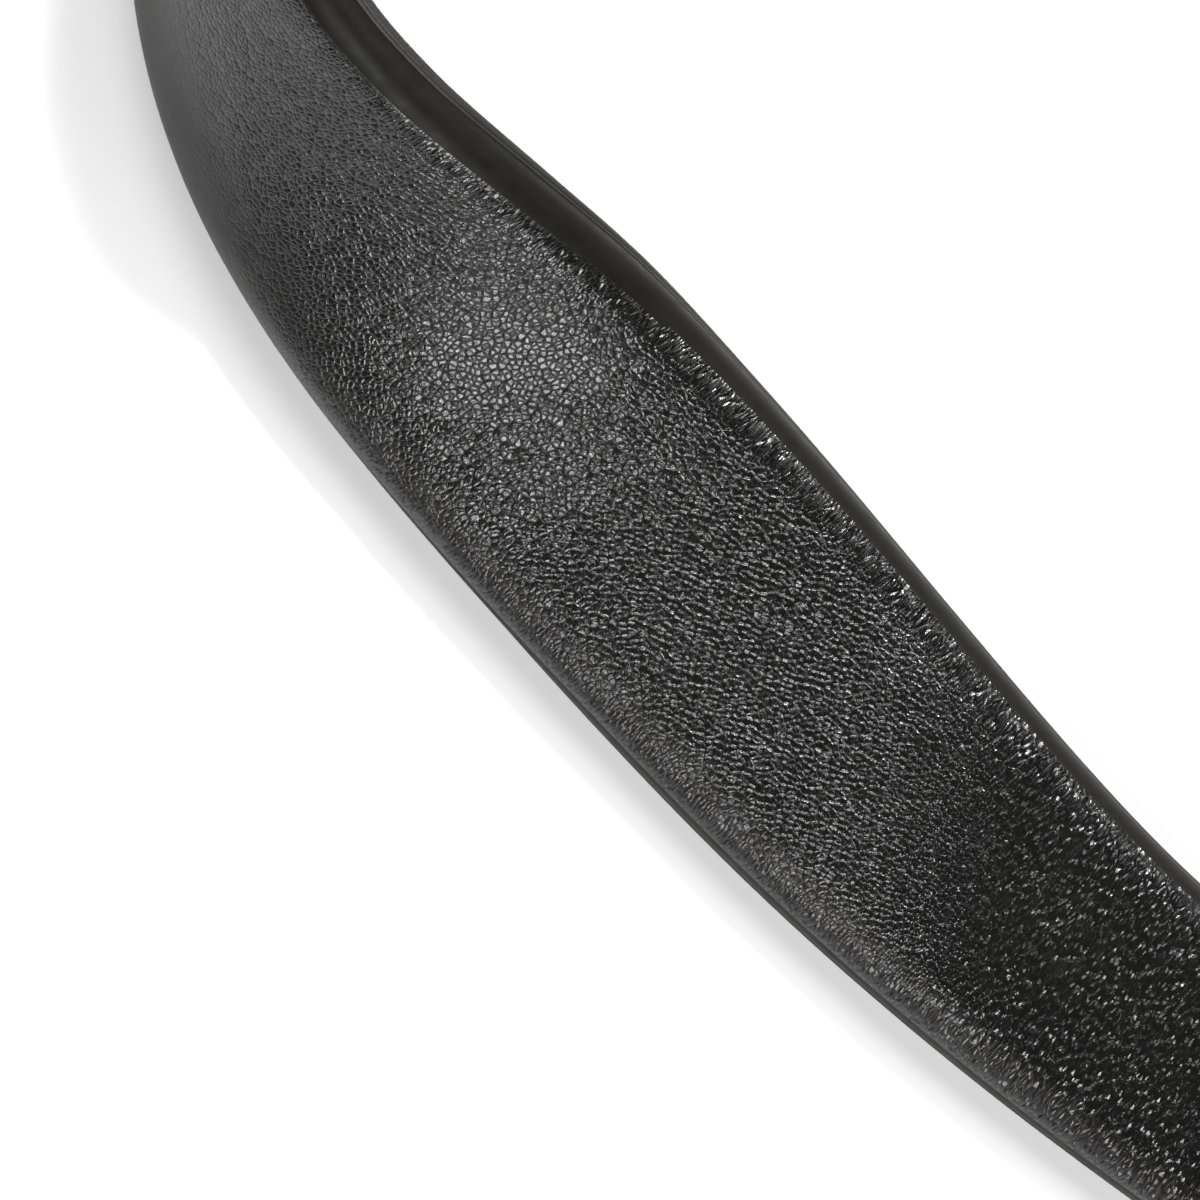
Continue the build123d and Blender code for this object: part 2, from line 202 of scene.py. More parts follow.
def grid_object(name, rows, lengths, closed=False, caps=False, ring=False):
    """A mesh through rows of points, with a UV map in metres: u along the rows, v across them.

    closed joins each row's end to its start, ring joins the last row to the first one.
    """
    rows_count, columns = len(rows), len(rows[0])
    points = [point for row in rows for point in row]
    faces = []
    for i in range(rows_count if ring else rows_count - 1):
        below = (i + 1) % rows_count * columns
        for j in range(columns if closed else columns - 1):
            k = (j + 1) % columns
            faces.append((i * columns + j, i * columns + k, below + k, below + j))
    if caps:
        faces.append(tuple(range(columns))[::-1])
        faces.append(tuple((rows_count - 1) * columns + j for j in range(columns)))
    mesh = bpy.data.meshes.new(name)
    mesh.from_pydata(points, [], faces)
    middle_row = rows[rows_count // 2]
    across = [0.0]
    for j in range(1, columns + 1):
        across.append(across[-1] + (middle_row[j % columns] - middle_row[j - 1]).length)
    uv = mesh.uv_layers.new(name="Grain")
    for polygon in mesh.polygons:
        for loop in polygon.loop_indices:
            i, j = divmod(mesh.loops[loop].vertex_index, columns)
            wrapped = closed and j == 0 and polygon.index % columns == columns - 1
            uv.data[loop].uv = (lengths[i] * MM, across[columns if wrapped else j])
    mesh.polygons.foreach_set("use_smooth", [True] * len(mesh.polygons))
    mesh.update()
    built = bpy.data.objects.new(name, mesh)
    bpy.context.scene.collection.objects.link(built)
    return built


def arch(station, grow=0.0, count=56, bulge=ROLL_BULGE):
    """The padded outline from the outer foot over the top to the inner foot."""
    width = smooth(WIDTH, abs(station))
    middle = smooth(MIDDLE, abs(station))
    half = width / 2 - LIP + grow
    shoulder = middle - SHOULDER_DROP
    points = []
    for index in range(count + 1):
        x = -math.cos(math.pi * index / count)
        crown = shoulder - LINING + SHOULDER_DROP * (1 - x * x) + grow
        roll = max(0.0, 1 - abs(x) ** ROLL_POWER) ** ROLL_ROUND
        out = bulge * math.sin(math.pi * min(1.0, roll)) * (1 if x > 0 else -1)
        points.append((width / 2 + half * x + out, LINING + crown * roll))
    return points


def undulate(row, depth):
    """A row of points moved up and down by slow noise, as soft padding under leather does."""
    moved = []
    for index, point in enumerate(row):
        slow = noise.noise(point * UNEVEN_SLOW + Vector((3.1, 0, 0)))
        finer = noise.noise(point * UNEVEN_FINE)
        held = min(1.0, index / UNEVEN_HELD, (len(row) - 1 - index) / UNEVEN_HELD)
        moved.append(point + Vector((0, 0, 1)) * held * depth * (slow + 0.35 * finer) * MM)
    return moved


def step_between(value, low, high):
    """0 at low, 1 at high and a smooth rise between them; low may be the larger one."""
    share = min(1.0, max(0.0, (value - low) / (high - low)))
    return share * share * (3 - 2 * share)


def drawn_across(spot, x):
    """How far the grain is drawn out across the band: on the shoulders and towards its ends."""
    shoulder = step_between(x, 0.70, 0.82) + 0.7 * step_between(x, -0.80, -0.92)
    lower = step_between(abs(spot) + 12 * x, 190, 240)
    return min(1.0, shoulder * step_between(abs(spot), 60, 120) + 0.9 * lower)


def drawn_along(spot, x):
    """How far the grain is drawn out along the band: by the outer edge round the neck."""
    return step_between(x, 0.0, -0.75) * step_between(abs(spot) + 30 * x, 105, 55)


def pressed(spot, x):
    """How far the grain is pressed smooth: on the turned edges, wider round the neck."""
    inner = 0.84 + 0.045 * step_between(abs(spot), 110, 165)
    return max(step_between(x, inner, inner + 0.045), step_between(x, -0.94, -0.98))


def matt(spot, x):
    """How dull the finish is: along the outer edge, which is handled most."""
    return step_between(x, -0.62, -0.86) * step_between(abs(spot), 60, 120)


COVER_MASKS = {"drawn_across": drawn_across, "drawn_along": drawn_along, "pressed": pressed,
               "matt": matt}


def band_cover():
    """The padded cover, with the grain's masks and a second slot where its edges are turned."""
    spots = stations(BAND_END, -BAND_END, COVER_STEP)
    rows = [undulate(place(spot, arch(spot)), UNEVEN) for spot in spots]
    cover = grid_object("neck_band_cover", rows, spots)
    columns = len(rows[0])
    places = [-math.cos(math.pi * j / (columns - 1)) for j in range(columns)]
    for mask_name, mask in COVER_MASKS.items():
        attribute = cover.data.attributes.new(mask_name, "FLOAT", "POINT")
        attribute.data.foreach_set("value", [mask(spot, x) for spot in spots for x in places])
    for polygon in cover.data.polygons:
        row, column = divmod(polygon.index, columns - 1)
        middle = (places[column] + places[column + 1]) / 2
        polygon.material_index = int(pressed(spots[row], middle) > TURNED_FROM)
    return cover


def rounded_bar(width_from, width_to, low, high, radius, steps=5):
    """A closed outline of a flat bar with rounded edges, as (across, up) points."""
    outline = []
    corners = [(width_to - radius, low + radius, -90), (width_to - radius, high - radius, 0),
               (width_from + radius, high - radius, 90), (width_from + radius, low + radius, 180)]
    for across, up, start in corners:
        for step in range(steps + 1):
            angle = math.radians(start + 90 * step / steps)
            outline.append((across + radius * math.cos(angle), up + radius * math.sin(angle)))
    return outline


def band_lining():
    """The smooth back layer, a flat bar with rounded edges along the whole band."""
    last = BAND_END + END_WALL
    spots = stations(last, -last, LINING_STEP)
    rows = []
    for spot in spots:
        width = smooth(WIDTH, abs(spot))
        outline = rounded_bar(-LINING_PROUD, width + LINING_PROUD, 0.0, LINING, LINING_EDGE)
        rows.append(place(spot, outline))
    return grid_object("neck_band_lining", rows, spots, closed=True, caps=True)


def edge_bead(name, inner):
    """The face leather's turned rim, a fine bead in the corner where it meets the lining."""
    spots = stations(BAND_END, -BAND_END, LINING_STEP)
    angles = [math.tau * k / BEAD_POINTS for k in range(BEAD_POINTS)]
    rows = []
    for spot in spots:
        width = smooth(WIDTH, abs(spot))
        across = width - LIP - BEAD_SHIFT if inner else LIP + BEAD_SHIFT
        ring = [(across + BEAD_RADIUS * math.cos(angle),
                 LINING + BEAD_RISE + BEAD_RADIUS * math.sin(angle)) for angle in angles]
        rows.append(place(spot, ring))
    return grid_object(name, rows, spots, closed=True, caps=True)


def end_cap(side_name, side):
    """A leather cap over the band's end: a thin shell that closes over the tip."""
    rows, lengths = [], []
    for spot in stations(CAP_START, BAND_END, CAP_STEP):
        rise = min(1.0, (spot - CAP_START) / CAP_LIFT) ** 0.5
        rows.append(place(side * spot, arch(spot, CAP * rise, CAP_POINTS, CAP_BULGE)))
        lengths.append(spot)
    for step in range(1, CAP_ROUND_STEPS + 1):
        angle = math.pi / 2 * step / CAP_ROUND_STEPS
        spot = BAND_END + END_WALL * math.sin(angle)
        shrink = CAP_ROUND * (1 - math.cos(angle))
        rows.append(place(side * spot, arch(BAND_END, CAP - shrink, CAP_POINTS, CAP_BULGE)))
        lengths.append(spot)
    last = rows[-1]
    flat = [last[0].lerp(last[-1], j / (len(last) - 1)) for j in range(len(last))]
    for step in range(1, CAP_CLOSE_STEPS + 1):
        share = step / CAP_CLOSE_STEPS
        rows.append([point.lerp(base, share) for point, base in zip(last, flat)])
        lengths.append(BAND_END + END_WALL + step)
    return grid_object(side_name + "_band_cap", rows, lengths)


def strap_course():
    """Places and headings along the left strap's middle, from the band to its fold's end."""
    x, y, heading = edge_point(BAND_END)
    half = smooth(WIDTH, BAND_END) / 2
    start = Vector((x + math.sin(heading) * half, y - math.cos(heading) * half, 0))
    run = 0.0
    for _ in range(20):
        bend = Vector((-STRAP_X - FORK_RADIUS * (1 - math.cos(run)),
                       FORK_Y + FORK_RADIUS * math.sin(run), 0))
        run = math.atan2(bend.x - start.x, start.y - bend.y)
    along = Vector((math.sin(run), -math.cos(run), 0))
    middle = Vector((0, 0, STRAP_Z + STRAP / 2))
    course = [(start + along * step + middle, along)
              for step in stations(-STRAP_TAIL, (bend - start).length, STRAP_STEP)]
    for turn in stations(run, 0.0, FORK_TURN)[1:]:
        place_at = Vector((-STRAP_X - FORK_RADIUS * (1 - math.cos(turn)),
                           FORK_Y + FORK_RADIUS * math.sin(turn), 0))
        course.append((place_at + middle, Vector((math.sin(turn), -math.cos(turn), 0))))
    for y in stations(FORK_Y, BAR_Y, STRAP_STEP)[1:]:
        course.append((Vector((-STRAP_X, y, middle.z)), Vector((0, -1, 0))))
    for turn in stations(-90, -270, WRAP_TURN)[1:]:
        angle = math.radians(turn)
        course.append((Vector((-STRAP_X, BAR_Y + WRAP_RADIUS * math.cos(angle),
                               AXIS_Z + WRAP_RADIUS * math.sin(angle))),
                       Vector((0, math.sin(angle), -math.cos(angle)))))
    top, rest = AXIS_Z + WRAP_RADIUS, middle.z + STRAP
    for step in stations(0.0, FOLD_LENGTH, FOLD_STEP)[1:]:
        share = min(1.0, step / FOLD_SLOPE)
        sink = (1 - math.cos(math.pi * share)) / 2
        fall = (top - rest) * math.pi / (2 * FOLD_SLOPE) * math.sin(math.pi * share)
        course.append((Vector((-STRAP_X, BAR_Y + step, top + (rest - top) * sink)),
                       Vector((0, 1, -fall)).normalized()))
    return course


def strap_section():
    """A strap's outline: soft edges, a slightly domed face and a creased line by each edge."""
    half, thick, crease = STRAP_WIDTH / 2, STRAP / 2, STRAP_CREASE
    outer_face = [(-half + 0.9, thick - 0.10), (-half + 1.35, thick - crease - 0.05),
                  (-half + 1.8, thick - 0.02), (-half + 3.0, thick)]
    face = outer_face + [(0, thick)] + [(-across, up) for across, up in outer_face[::-1]]
    corner = [(half - 0.38, thick - 0.32), (half - 0.08, 0.45), (half, 0.0), (half - 0.08, -0.45),
              (half - 0.38, -thick + 0.32)]
    right = corner + [(half - 0.9, -thick + 0.04), (half - 3.0, -thick)]
    left = [(-across, up) for across, up in right[::-1]]
    return face + right + left


def side_strap(side_name, side):
    """One side strap, from its tail inside the band's end to the end of its fold."""
    rows, lengths = [], []
    previous = None
    for middle, along in strap_course():
        across_way = Vector((1, 0, 0))
        if abs(along.x) >= 1e-6:
            across_way = Vector((-along.y, along.x, 0)).normalized()
        up_way = along.cross(across_way)
        row = []
        for across, up in strap_section():
            point = middle + across_way * across + up_way * up
            row.append(Vector((side * point.x, point.y, point.z)) * MM)
        rows.append(row)
        lengths.append(0.0 if previous is None else lengths[-1] + (middle - previous).length)
        previous = middle
    return grid_object(side_name + "_strap_leather", rows, lengths, closed=True, caps=True)


def rounded_rectangle(half_x, half_y, radius, steps=8):
    """Points round a rectangle with round corners, centred on the origin."""
    points = []
    for sign_x, sign_y, start in ((1, 1, 0), (-1, 1, 90), (-1, -1, 180), (1, -1, 270)):
        for step in range(steps + 1):
            angle = math.radians(start + 90 * step / steps)
            points.append((sign_x * (half_x - radius) + radius * math.cos(angle),
                           sign_y * (half_y - radius) + radius * math.sin(angle)))
    return points


def node_box(node):
    """A CAD node's lowest corner, highest corner, middle and half sizes, in millimetres."""
    low, high = (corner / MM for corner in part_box(node))
    return low, high, (low + high) / 2, [(b - a) / 2 for a, b in zip(low, high)]


def strap_keeper():
    """A leather ring round both straps, with rounded edges and a soft crown."""
    low, high, middle, (half_x, _, half_z) = node_box("strap_keeper")
    length = high.y - low.y
    rows, lengths = [], []
    for across, depth in rounded_bar(-length / 2, length / 2, 0.0, KEEPER_WALL, KEEPER_EDGE):
        arc = KEEPER_CROWN * (1 - (2 * across / length) ** 2)
        inset = depth - arc if depth < KEEPER_WALL / 2 else depth
        outline = rounded_rectangle(half_x - inset, half_z - inset,
                                    max(SMALLEST_CORNER, KEEPER_CORNER - inset))
        rows.append([Vector((middle.x + x, middle.y + across, middle.z + z)) * MM
                     for x, z in outline])
        lengths.append(across)
    return grid_object("strap_keeper_leather", rows, lengths, closed=True, ring=True)


def slider_facing():
    """A rounded leather plate with a soft swell and a pressed line round it."""
    low, high, middle, (half_x, half_y, _) = node_box("slider_facing")
    groove = FACING_GROOVE
    profile = [(0.0, low.z), (0.0, low.z + 0.5), (0.12, high.z - 0.45), (0.5, high.z - 0.12),
               (1.0, high.z), (1.5, high.z - groove * 0.6), (1.9, high.z - groove),
               (2.3, high.z - groove * 0.6)]
    reach = min(half_x, half_y)
    for inset in stations(FACING_FLAT_TO, reach - FACING_RIM, 0.5):
        turn = math.pi / 2 * (inset - FACING_FLAT_TO) / (reach - FACING_FLAT_TO)
        profile.append((inset, high.z + FACING_SWELL * math.sin(turn)))
    rows = []
    for inset, height in profile:
        outline = rounded_rectangle(half_x - inset, half_y - inset,
                                    max(SMALLEST_CORNER, FACING_CORNER - inset))
        rows.append([Vector((middle.x + x, middle.y + y, height)) * MM for x, y in outline])
    crest, top = half_x - half_y, high.z + FACING_SWELL
    rows.append([Vector((middle.x + crest * max(-1, min(1, x / crest)), middle.y, top)) * MM
                 for x, y in rounded_rectangle(half_x - reach + FACING_RIM, 0.3, SMALLEST_CORNER)])
    plate = grid_object("slider_facing_leather", rows, [0.0] * len(rows), closed=True)
    for loop in plate.data.loops:
        point = plate.data.vertices[loop.vertex_index].co
        uv = (point.x + point.z, point.y + point.z)
        plate.data.uv_layers["Grain"].data[loop.index].uv = uv
    return plate


def slider_block():
    """The moulded slider: a rounded block with a passage for each strap."""
    low, high, middle, (half_x, half_y, _) = node_box("slider_body")
    edge = SLIDER_EDGE
    turns = [(angle, low.z + edge) for angle in stations(-90, 0, 15)]
    turns += [(angle, high.z - edge) for angle in stations(0, 90, 15)]
    rows = []
    for angle, base in turns:
        inset = edge * (1 - math.cos(math.radians(angle)))
        height = base + edge * math.sin(math.radians(angle))
        outline = rounded_rectangle(half_x - inset, half_y - inset, SLIDER_CORNER - inset)
        rows.append([Vector((middle.x + x, middle.y + y, height)) * MM for x, y in outline])
    block = grid_object("slider_block", rows, list(range(len(rows))), closed=True, caps=True)
    slot = rounded_bar(-STRAP_WIDTH / 2 - PASSAGE_GAP, STRAP_WIDTH / 2 + PASSAGE_GAP,
                       STRAP_Z - PASSAGE_GAP, STRAP_Z + STRAP + PASSAGE_GAP, PASSAGE_CORNER)
    for side in (-1, 1):
        ends = [[Vector((side * STRAP_X + x, y, z)) * MM for x, z in slot]
                for y in (low.y - 1, high.y + 1)]
        tool = grid_object("passage", ends, [0, 1], closed=True, caps=True)
        cut = block.modifiers.new("passage", "BOOLEAN")
        cut.operation = "DIFFERENCE"
        cut.solver = "EXACT"
        cut.object = tool
        bpy.context.view_layer.objects.active = block
        bpy.ops.object.modifier_apply(modifier=cut.name)
        bpy.data.objects.remove(tool)
    block.data.set_sharp_from_angle(angle=math.radians(35))
    return block


def rivet_heads(name, spots, base):
    """Domed rivet heads with a fine rim, one at each (x, y) spot, as one piece."""
    radius, dome, rim = RIVET_RADIUS, RIVET_RADIUS * 0.86, base + RIVET_RIM
    profile = [(radius * 0.98, base), (radius, base + 0.12), (radius * 0.97, base + 0.26),
               (dome, rim)]
    profile += [(dome * math.cos(angle), rim + (RIVET_DOME - RIVET_RIM) * math.sin(angle))
                for angle in stations(0.0, math.pi / 2 - 0.02, 0.16)[1:]]
    around = [math.tau * k / RIVET_POINTS for k in range(RIVET_POINTS)]
    heads = []
    for x, y in spots:
        rows = [[Vector((x + r * math.cos(angle), y + r * math.sin(angle), z)) * MM
                 for angle in around] for r, z in profile]
        heads.append(grid_object(name, rows, list(range(len(rows))), closed=True, caps=True))
    with bpy.context.temp_override(active_object=heads[0], selected_editable_objects=heads):
        bpy.ops.object.join()
    return heads[0]


# ---------------------------------------------------------------- materials

class Nodes:
    """Short calls for building one material's node tree."""

    def __init__(self, name):
        self.material = bpy.data.materials.new(name)
        self.material.use_nodes = True
        self.tree = self.material.node_tree
        self.shader = self.tree.nodes["Principled BSDF"]

    def add(self, kind, inputs=None, **settings):
        node = self.tree.nodes.new(kind)
        for key, value in settings.items():
            setattr(node, key, value)
        for key, value in (inputs or {}).items():
            self.put(node.inputs[key], value)
        return node

    def put(self, socket, value):
        if isinstance(value, bpy.types.NodeSocket):
            self.tree.links.new(value, socket)
        else:
            socket.default_value = value

    def math(self, operation, first, second=0.0, third=0.0):
        node = self.add("ShaderNodeMath", operation=operation)
        for socket, value in zip(node.inputs, (first, second, third)):
            self.put(socket, value)
        return node.outputs[0]

    def remap(self, value, low, high, to_low=0.0, to_high=1.0, steps="SMOOTHSTEP"):
        node = self.add("ShaderNodeMapRange", {"Value": value, "From Min": low, "From Max": high,
                                               "To Min": to_low, "To Max": to_high},
                        interpolation_type=steps)
        return node.outputs[0]

    def mix(self, share, first, second):
        """A colour between two others, each a socket or red, green and blue."""
        node = self.add("ShaderNodeMix", {"Factor": share}, data_type="RGBA")
        for index, colour in ((6, first), (7, second)):
            is_socket = isinstance(colour, bpy.types.NodeSocket)
            self.put(node.inputs[index], colour if is_socket else (*colour, 1))
        return node.outputs[2]

    def object_place(self):
        return self.add("ShaderNodeTexCoord").outputs["Object"]

    def grain_place(self):
        """The place on the piece's own map, in millimetres along and across the band."""
        uv = self.add("ShaderNodeUVMap", uv_map="Grain").outputs[0]
        return self.stretch(uv, 1000.0, 1000.0)

    def noise(self, vector, scale, detail=3.0, roughness=0.5):
        return self.add("ShaderNodeTexNoise", {"Vector": vector, "Scale": scale, "Detail": detail,
                                               "Roughness": roughness}).outputs[0]

    def warp(self, vector, scale, amount):
        """The vector pushed about by noise, so that cells aren't regular."""
        wander = self.add("ShaderNodeTexNoise", {"Vector": vector, "Scale": scale, "Detail": 2.0})
        shift = self.add("ShaderNodeVectorMath", {0: wander.outputs["Color"], 1: (0.5, 0.5, 0.5)},
                         operation="SUBTRACT")
        scaled = self.scale(shift.outputs[0], amount)
        return self.add("ShaderNodeVectorMath", {0: vector, 1: scaled}).outputs[0]

    def scale(self, vector, factor):
        return self.add("ShaderNodeVectorMath", {0: vector, "Scale": factor},
                        operation="SCALE").outputs[0]

    def stretch(self, vector, along, across):
        return self.add("ShaderNodeVectorMath", {0: vector, 1: (along, across, 1.0)},
                        operation="MULTIPLY").outputs[0]

    def attribute(self, name):
        return self.add("ShaderNodeAttribute", attribute_name=name).outputs["Fac"]

    def blend(self, share, first, second):
        """A plain number between two others."""
        node = self.add("ShaderNodeMix", {"Factor": share}, data_type="FLOAT")
        self.put(node.inputs[2], first)
        self.put(node.inputs[3], second)
        return node.outputs[0]

    def creases(self, vector, cell, width):
        """0 in the fine creases round the cells of a size in mm, rising to 1 beside them."""
        node = self.add("ShaderNodeTexVoronoi", {"Vector": vector, "Scale": 1.0 / cell},
                        voronoi_dimensions="2D", feature="DISTANCE_TO_EDGE")
        return self.remap(node.outputs["Distance"], 0.0, width)

    def tilted_tops(self, vector, cell):
        """Height in mm of cells whose tops each lean their own way and fall off to their sides."""
        node = self.add("ShaderNodeTexVoronoi", {"Vector": vector, "Scale": 1.0 / cell},
                        voronoi_dimensions="2D", feature="F1")
        offset = self.add("ShaderNodeVectorMath", {0: vector, 1: node.outputs["Position"]},
                          operation="SUBTRACT").outputs[0]
        way = self.add("ShaderNodeVectorMath", {0: node.outputs["Color"], 1: (0.5, 0.5, 0.5)},
                       operation="SUBTRACT").outputs[0]
        lean = self.add("ShaderNodeVectorMath", {0: offset, 1: way}, operation="DOT_PRODUCT")
        away = self.math("POWER", node.outputs["Distance"], 2.0)
        return self.math("MULTIPLY_ADD", away, -0.10 * cell,
                         self.math("MULTIPLY", lean.outputs["Value"], 0.34))

    def bump(self, height, distance):
        node = self.add("ShaderNodeBump", {"Height": height, "Distance": distance})
        self.put(self.shader.inputs["Normal"], node.outputs[0])

    def sum(self, *terms):
        total = terms[0]
        for term in terms[1:]:
            total = self.math("ADD", total, term)
        return total

    def times(self, value, factor):
        return self.math("MULTIPLY", value, factor)

    def set(self, **values):
        for key, value in values.items():
            self.put(self.shader.inputs[key.replace("_", " ")], value)


# The grain's cell sizes and heights in mm: round pebbles, drawn-out streaks and fine hair creases.
CELL, CELL_CREASE, CELL_HEIGHT, CELL_LEAN = 0.80, 0.26, 0.046, 0.45
SMALL, SMALL_CREASE, SMALL_HEIGHT = 0.38, 0.34, 0.012
LINE, LINE_CREASE, LINE_HEIGHT, LINE_LEAN = 0.54, 0.42, 0.12, 1.4
TINY, TINY_CREASE, TINY_HEIGHT = 0.34, 0.35, 0.010
HAIR, HAIR_CREASE, HAIR_HEIGHT = 0.55, 0.30, 0.018
MICRO_HEIGHT = 0.0022
PADDING_HEIGHT = 0.22
# The first colour on the next line is painted shade: the creases are painted darker than the
# cells' tops, as shade would fall in them.
CREASE_SHADE_COLOUR, TOP_COLOUR = (0.0008, 0.0007, 0.0006), (0.0046, 0.0042, 0.0038)
# The first colour on the next line is painted light: the outer half round the neck, where the face
# leans out towards the white floor, is painted lighter and browner, as the floor's bounce would
# make it.
FLOOR_BOUNCE_COLOUR, DULL_COLOUR = (0.0075, 0.0052, 0.0049), (0.0070, 0.0048, 0.0044)


def grained_leather():
    """Full-grain leather: soft cells between sharp creases, drawn out where the hide is pulled."""
    n = Nodes("grained_leather")
    where = n.grain_place()
    across, along, flat, dull = (n.attribute(name) for name in COVER_MASKS)
    bent = n.warp(n.warp(where, 0.33, 0.6), 1.7, 0.20)
    cells = n.creases(bent, CELL, CELL_CREASE)
    small = n.creases(bent, SMALL, SMALL_CREASE)
    pebbles = n.sum(n.times(cells, CELL_HEIGHT), n.times(small, SMALL_HEIGHT),
                    n.times(n.tilted_tops(bent, CELL), CELL_LEAN))
    drawn = n.stretch(n.warp(where, 0.33, 0.25), 1.0, 0.24)
    lines = n.creases(drawn, LINE, LINE_CREASE)
    streaks = n.sum(n.times(lines, LINE_HEIGHT),
                    n.times(n.tilted_tops(drawn, LINE), LINE_LEAN),
                    n.times(n.creases(bent, TINY, TINY_CREASE), TINY_HEIGHT))
    hairs = n.creases(n.stretch(bent, 0.20, 1.0), HAIR, HAIR_CREASE)
    grain = n.blend(along, n.blend(across, pebbles, streaks), n.times(hairs, HAIR_HEIGHT))
    micro = n.times(n.noise(where, 5.0, 2.0, 0.6), MICRO_HEIGHT)
    slow = n.times(n.noise(where, 0.09), PADDING_HEIGHT)
    height = n.sum(n.times(grain, n.blend(flat, 1.0, 0.08)), micro, slow)
    top = n.blend(across, n.times(cells, n.remap(small, 0.0, 1.0, 0.55, 1.0)), lines)
    top = n.blend(flat, n.blend(along, top, hairs), 0.8)
    patches = n.remap(n.noise(where, 0.04), 0.3, 0.7, 0.8, 1.2, "LINEAR")
    # Painted shade: the colour darkens into the creases round the cells and the finer ones inside
    # them.
    tone = n.mix(top, CREASE_SHADE_COLOUR, TOP_COLOUR)
    # Painted light: the outer half round the neck is painted lighter and browner, standing in for
    # light bounced up from the white floor.
    tone = n.mix(n.times(along, 0.8), tone, FLOOR_BOUNCE_COLOUR)
    tone = n.mix(n.times(dull, 0.6), tone, DULL_COLOUR)
    rough = n.blend(across, n.remap(top, 0.0, 1.0, 0.30, 0.20), n.remap(top, 0.0, 1.0, 0.25, 0.13))
    rough = n.blend(n.math("MAXIMUM", n.times(dull, 0.5), along), rough, 0.50)
    n.set(Base_Color=n.scale(tone, patches), Roughness=n.blend(flat, rough, 0.38),
          Specular_IOR_Level=0.65)
    n.bump(height, MM)
    return n.material


def turned_edge():
    """The smooth, dull edge where the leather is turned over and pressed."""
    n = Nodes("turned_edge")
    where = n.grain_place()
    fine = n.creases(n.warp(where, 1.2, 0.3), 0.5, 0.3)
    slow = n.noise(where, 0.3)
    n.set(Base_Color=n.mix(slow, (0.0050, 0.0044, 0.0040), (0.0090, 0.0080, 0.0074)),
          Roughness=n.remap(slow, 0.3, 0.7, 0.45, 0.58, "LINEAR"), Specular_IOR_Level=0.16)
    n.bump(n.sum(n.times(fine, 0.006), n.times(slow, 0.05)), MM)
    return n.material


def plain_leather(name, colour, roughness, cell=0.5, depth=0.03):
    """Smooth strap or lining leather with a fine close grain; cell and depth are in mm."""
    n = Nodes(name)
    where = n.object_place()
    fine = n.add("ShaderNodeTexVoronoi", {"Vector": where, "Scale": 1.0 / (cell * MM)},
                 feature="DISTANCE_TO_EDGE").outputs["Distance"]
    speckle = n.noise(where, 3000.0)
    height = n.math("MULTIPLY_ADD", n.remap(fine, 0.0, 0.3), 0.5, speckle)
    tint = n.remap(n.noise(where, 60.0), 0.3, 0.7, 0.8, 1.15, "LINEAR")
    n.set(Base_Color=n.scale(colour, tint),
          Roughness=n.remap(speckle, 0.3, 0.7, roughness - 0.06, roughness + 0.08, "LINEAR"))
    n.bump(height, depth * MM)
    return n.material


def polished_metal(name, colour, roughness=0.16):
    """Plated metal with faint wear: fine scratches and slow changes in gloss."""
    n = Nodes(name)
    where = n.object_place()
    rub = n.noise(n.stretch(where, 900.0, 5000.0), 1.0, 2.0)
    slow = n.noise(where, 180.0)
    rough = n.math("MULTIPLY_ADD", slow, 0.12, roughness - 0.04)
    rough = n.math("MULTIPLY_ADD", rub, 0.06, rough)
    tint = n.remap(slow, 0.3, 0.7, 0.92, 1.05, "LINEAR")
    n.set(Base_Color=n.scale(colour, tint), Metallic=1.0, Roughness=rough)
    n.bump(rub, 0.004 * MM)
    return n.material


def moulded(name, colour, roughness=0.45):
    """Moulded plastic or rubber with a fine spark-eroded texture."""
    n = Nodes(name)
    where = n.object_place()
    texture = n.noise(where, 2600.0)
    tint = n.remap(n.noise(where, 90.0, 2.0), 0.3, 0.7, 0.85, 1.15, "LINEAR")
    n.set(Base_Color=n.scale(colour, tint),
          Roughness=n.math("MULTIPLY_ADD", texture, 0.14, roughness - 0.07))
    n.bump(texture, 0.02 * MM)
    return n.material


def wear(built, material):
    """Gives a whole piece one material and returns the piece."""
    built.data.materials.clear()
    built.data.materials.append(material)
    return built


# ---------------------------------------------------------------- the pieces

grained = grained_leather()
lining_leather = plain_leather("lining_leather", (0.020, 0.017, 0.0155), 0.55)
strap_leather = plain_leather("strap_leather", (0.018, 0.0155, 0.014), 0.42)
rim_leather = plain_leather("rim_leather", (0.026, 0.023, 0.021), 0.5)
nickel = polished_metal("nickel", (0.66, 0.64, 0.61))
steel = polished_metal("steel", (0.5, 0.5, 0.5), 0.28)
brass = polished_metal("brass", (0.78, 0.58, 0.28), 0.25)
black_plastic = moulded("black_plastic", (0.02, 0.02, 0.02))
black_rubber = moulded("black_rubber", (0.018, 0.018, 0.018), 0.6)
foam = moulded("foam", (0.5, 0.48, 0.44), 0.9)

cover = band_cover()
for material in (grained, turned_edge()):
    cover.data.materials.append(material)
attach(cover, "neck_band")
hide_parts("face_leather", "foam_pad")

lining = wear(band_lining(), lining_leather)
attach(lining, "neck_band")
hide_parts("lining_leather")

for bead_name, is_inner in (("inner_rim", True), ("outer_rim", False)):
    bead = wear(edge_bead(bead_name, is_inner), rim_leather)
    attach(bead, "neck_band")

for side_name, side in (("left", 1), ("right", -1)):
    cap = wear(end_cap(side_name, side), strap_leather)
    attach(cap, "neck_band")
    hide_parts(side_name + "_end_cap")

